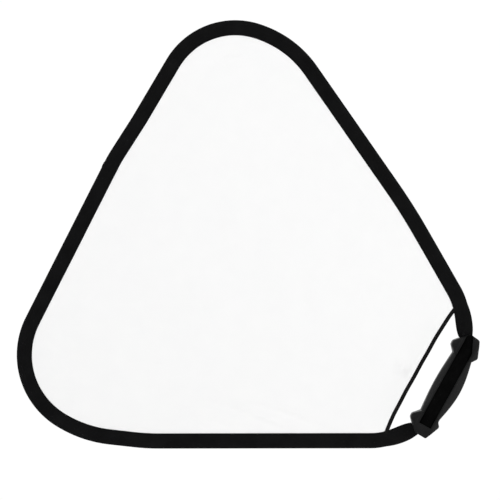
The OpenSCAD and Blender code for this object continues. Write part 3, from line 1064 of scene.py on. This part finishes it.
def build_strips():
    strips = (("front", False, STRIP_END + 0.1, FLANGE_ENDS[1] - 0.45),
              ("rear", True, -REAR_STRIP_HALF + 0.1, REAR_STRIP_HALF - 0.1))
    for end, rear, start, stop in strips:
        stations = np.r_[np.arange(start, stop - 3, 3.0), np.linspace(stop - 2.5, stop, 8)]
        rings = [strip_ring(u, rear) for u in stations]
        obj = closed(f"soft_strip_{end}", *tube(rings), sharp_from=40)
        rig.ride(obj, "handle")
        dress(obj, f"grip_strip_{end}", "soft_grip", "soft")


# ---- materials ----
# Their lengths are in metres: noise scales are per metre, and pitches and bump distances in metres
def new_material(name, colour, roughness, **fixed):
    """A Principled material with its fixed values set on the shader itself."""
    mat = bpy.data.materials.new(name)
    mat.use_nodes = True
    shader = shader_of(mat)
    shader.inputs["Base Color"].default_value = (*colour, 1)
    shader.inputs["Roughness"].default_value = roughness
    for key, value in fixed.items():
        shader.inputs[key.replace("_", " ")].default_value = value
    return mat


def grey(level, blue=0.0):
    return (level, level, level + blue)


def node(mat, kind, **values):
    """A node with these values set on its inputs."""
    made = mat.node_tree.nodes.new(kind)
    for key, value in values.items():
        made.inputs[key.replace("_", " ")].default_value = value
    return made


def link(mat, source, target):
    mat.node_tree.links.new(source, target)


def shader_of(mat):
    return mat.node_tree.nodes["Principled BSDF"]


def place(mat, kind):
    """Texture coordinates: "UV" lies along the cloth in metres, "Object" is the piece's own frame."""
    return node(mat, "ShaderNodeTexCoord").outputs[kind]


def noise(mat, where, scale, detail=3.0):
    made = node(mat, "ShaderNodeTexNoise", Scale=scale, Detail=detail)
    link(mat, where, made.inputs["Vector"])
    return made.outputs["Fac"]


def ramp(mat, factor, *stops):
    """A colour ramp through stops of a place and a colour or grey level."""
    made = mat.node_tree.nodes.new("ShaderNodeValToRGB")
    link(mat, factor, made.inputs["Fac"])
    for element, (at, colour) in zip(made.color_ramp.elements, stops):
        element.position = at
        element.color = (*(grey(colour) if isinstance(colour, float) else colour), 1)
    return made.outputs["Color"]


def add_bump(mat, height, strength, distance, below=None):
    made = node(mat, "ShaderNodeBump", Strength=strength, Distance=distance)
    link(mat, height, made.inputs["Height"])
    if below is not None:
        link(mat, below, made.inputs["Normal"])
    return made.outputs["Normal"]


def weave(mat, where, pitch):
    """Height of a plain weave with this thread pitch in metres."""
    waves = []
    for direction in ("X", "Y"):
        wave = node(mat, "ShaderNodeTexWave", Scale=2 * math.pi / 20 / pitch, Distortion=0.6, Detail=1.0)
        wave.bands_direction = direction
        link(mat, where, wave.inputs["Vector"])
        waves.append(wave.outputs["Fac"])
    checker = node(mat, "ShaderNodeTexChecker", Scale=1 / pitch)
    link(mat, where, checker.inputs["Vector"])
    mix = mat.node_tree.nodes.new("ShaderNodeMix")
    link(mat, checker.outputs["Fac"], mix.inputs["Factor"])
    link(mat, waves[0], mix.inputs["A"])
    link(mat, waves[1], mix.inputs["B"])
    return mix.outputs["Result"]


def cloth(name, dark, light, pitch, roughness, bump, rumple, **fixed):
    """Woven cloth: its threads stand up a little, and its colour drifts slowly over it."""
    mat = new_material(name, light, roughness, **fixed)
    where = place(mat, "UV")
    height = weave(mat, where, pitch)
    drift = noise(mat, where, 45.0)
    link(mat, ramp(mat, drift, (0.3, dark), (0.75, light)), shader_of(mat).inputs["Base Color"])
    uneven = add_bump(mat, noise(mat, where, 160.0, 2.0), rumple, 0.0006)
    link(mat, add_bump(mat, height, bump, 0.0002, uneven), shader_of(mat).inputs["Normal"])
    return mat


def plastic():
    """Moulded plastic with a fine grain, a little uneven in shade and shine."""
    mat = new_material("satin_plastic", grey(0.0065, 0.0002), 0.42, Specular_IOR_Level=0.11)
    where = place(mat, "Object")
    wear = noise(mat, where, 60.0, 4.0)
    link(mat, ramp(mat, wear, (0.35, grey(0.0052, 0.0002)), (0.8, grey(0.0088, 0.0002))),
         shader_of(mat).inputs["Base Color"])
    link(mat, ramp(mat, wear, (0.3, 0.38), (0.8, 0.50)), shader_of(mat).inputs["Roughness"])
    grain = noise(mat, where, 2600.0, 1.0)
    link(mat, add_bump(mat, grain, 0.22, 0.00012), shader_of(mat).inputs["Normal"])
    return mat


def rubber():
    """Matt rubber with a fine pebbled surface."""
    mat = new_material("soft_rubber", grey(0.0018), 0.85, Specular_IOR_Level=0.03)
    where = place(mat, "Object")
    dust = noise(mat, where, 90.0, 4.0)
    link(mat, ramp(mat, dust, (0.4, grey(0.0012)), (0.85, grey(0.0026))),
         shader_of(mat).inputs["Base Color"])
    dots = node(mat, "ShaderNodeTexVoronoi", Scale=900.0)
    link(mat, where, dots.inputs["Vector"])
    link(mat, add_bump(mat, dots.outputs["Distance"], 0.2, 0.0001), shader_of(mat).inputs["Normal"])
    return mat


def steel(name, colour, roughness, grain):
    """Drawn or plated steel; grain is how far its fine scratches are stretched along Z."""
    mat = new_material(name, colour, roughness, Metallic=1.0)
    mapping = node(mat, "ShaderNodeMapping", Scale=(1.0, 1.0, grain))
    link(mat, place(mat, "Object"), mapping.inputs["Vector"])
    streaks = noise(mat, mapping.outputs["Vector"], 1500.0, 2.0)
    link(mat, ramp(mat, streaks, (0.3, roughness * 0.75), (0.7, roughness * 1.2)),
         shader_of(mat).inputs["Roughness"])
    link(mat, add_bump(mat, streaks, 0.08, 0.00005), shader_of(mat).inputs["Normal"])
    return mat


def build_materials():
    black = {"Specular_IOR_Level": 0.08, "Sheen_Weight": 0.02, "Sheen_Roughness": 0.4}
    return {
        "rim": cloth("rim_cloth", grey(0.0026, 0.0002), grey(0.0050, 0.0003),
                     pitch=0.0007, roughness=0.85, bump=0.5, rumple=0.25, **black),
        "binding": cloth("binding_cloth", grey(0.005), grey(0.009),
                         pitch=0.0006, roughness=0.85, bump=0.5, rumple=0.25, **black),
        "sheet": cloth("sheet_cloth", grey(0.908), grey(0.919, -0.002),
                       pitch=0.0004, roughness=0.7, bump=0.05, rumple=0.07,
                       Specular_IOR_Level=0.2, Sheen_Weight=0.02, Sheen_Roughness=0.5),
        "shell": plastic(),
        "soft": rubber(),
        "band": steel("blued_band", (0.30, 0.33, 0.40), 0.32, 0.05),
        "clamp": steel("zinc_plate", (0.62, 0.62, 0.60), 0.38, 1.0),
        "screw": steel("black_steel", grey(0.012, 0.0005), 0.45, 1.0)}


SLOT_MATERIALS = {"band_steel": "band", "clamp_steel": "clamp", "screw_steel": "screw"}


def dress_cad_nodes():
    """The steel parts are shown as the frame has them, each with its slot's material."""
    slots = {part["node"]: part["material_slot"] for part in frame["record"]["subparts"]}
    for name, obj in frame["nodes"].items():
        if slots[name] in SLOT_MATERIALS:
            obj.data.materials.clear()
            obj.data.materials.append(materials[SLOT_MATERIALS[slots[name]]])
            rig.slot(obj, slots[name])


# ---- the stage ----
VIEW_CENTRE = (-0.2491, 0.1738)     # x and z at the middle of the picture
VIEW_WIDTH = 0.652
VIEW_DISTANCE = 4.0
FLOOR_Z, FLOOR_RADIUS = -0.45, 3.0
WORLD_Y = (-0.6, 0.9)               # the studio brightens between these directions, front to back
WORLD_STRENGTH = (0.50, 1.02)
LIGHT_AIM = (-0.25, 0.0, 0.15)
LIGHTS = (("key", (-1.5, -2.4, 1.7), 1.8, 27.0),      # name, place, size and power
          ("fill", (1.6, -1.9, 0.5), 1.4, 18.0),
          ("back", (0.6, 2.2, 1.9), 1.2, 10.0))


def build_camera():
    camera = bpy.data.cameras.new("camera")
    camera.sensor_width = 36.0
    camera.lens = camera.sensor_width * VIEW_DISTANCE / VIEW_WIDTH
    camera.clip_end = 100.0
    obj = add_object("camera", camera)
    obj.location = (VIEW_CENTRE[0], -VIEW_DISTANCE, VIEW_CENTRE[1])
    obj.rotation_euler = (math.pi / 2, 0, 0)
    bpy.context.scene.camera = obj


def build_floor():
    count = 96
    turns = [2 * math.pi * k / count for k in range(count)]
    mesh = bpy.data.meshes.new("floor")
    mesh.from_pydata([(VIEW_CENTRE[0] + FLOOR_RADIUS * math.cos(a), FLOOR_RADIUS * math.sin(a), FLOOR_Z)
                      for a in turns], [], [tuple(range(count))])
    mesh.materials.append(new_material("floor_paint", grey(0.88), 0.8))
    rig.stage(add_object("floor", mesh))


def build_world():
    """A white studio that is brighter behind the object than in front of it."""
    world = bpy.data.worlds.new("studio")
    world.use_nodes = True
    tree = world.node_tree
    background = tree.nodes["Background"]
    where = tree.nodes.new("ShaderNodeTexCoord")
    split = tree.nodes.new("ShaderNodeSeparateXYZ")
    shade = tree.nodes.new("ShaderNodeMapRange")
    for key, value in zip(("From Min", "From Max", "To Min", "To Max"), WORLD_Y + WORLD_STRENGTH):
        shade.inputs[key].default_value = value
    tree.links.new(where.outputs["Generated"], split.inputs["Vector"])
    tree.links.new(split.outputs["Y"], shade.inputs["Value"])
    tree.links.new(shade.outputs["Result"], background.inputs["Strength"])
    background.inputs["Color"].default_value = (1, 1, 1, 1)
    bpy.context.scene.world = world


def build_lights():
    for name, place_at, size, power in LIGHTS:
        light = bpy.data.lights.new(name, "AREA")
        light.shape = "DISK"
        light.size = size
        light.energy = power
        obj = add_object(name, light)
        obj.location = place_at
        obj.rotation_euler = (Vector(LIGHT_AIM) - Vector(place_at)).to_track_quat("-Z", "Y").to_euler()


materials = build_materials()
build_handle()
build_strips()
build_rim()
build_sheet()
build_binding()
dress_cad_nodes()
build_camera()
build_floor()
build_world()
build_lights()
bpy.context.scene.view_settings.view_transform = "Standard"

bpy.context.view_layer.update()
with open("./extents.json", "w") as f:
    json.dump({"cad": [list(corner) for corner in cad_box],
               "visual": [list(corner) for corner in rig.bounds()]}, f)
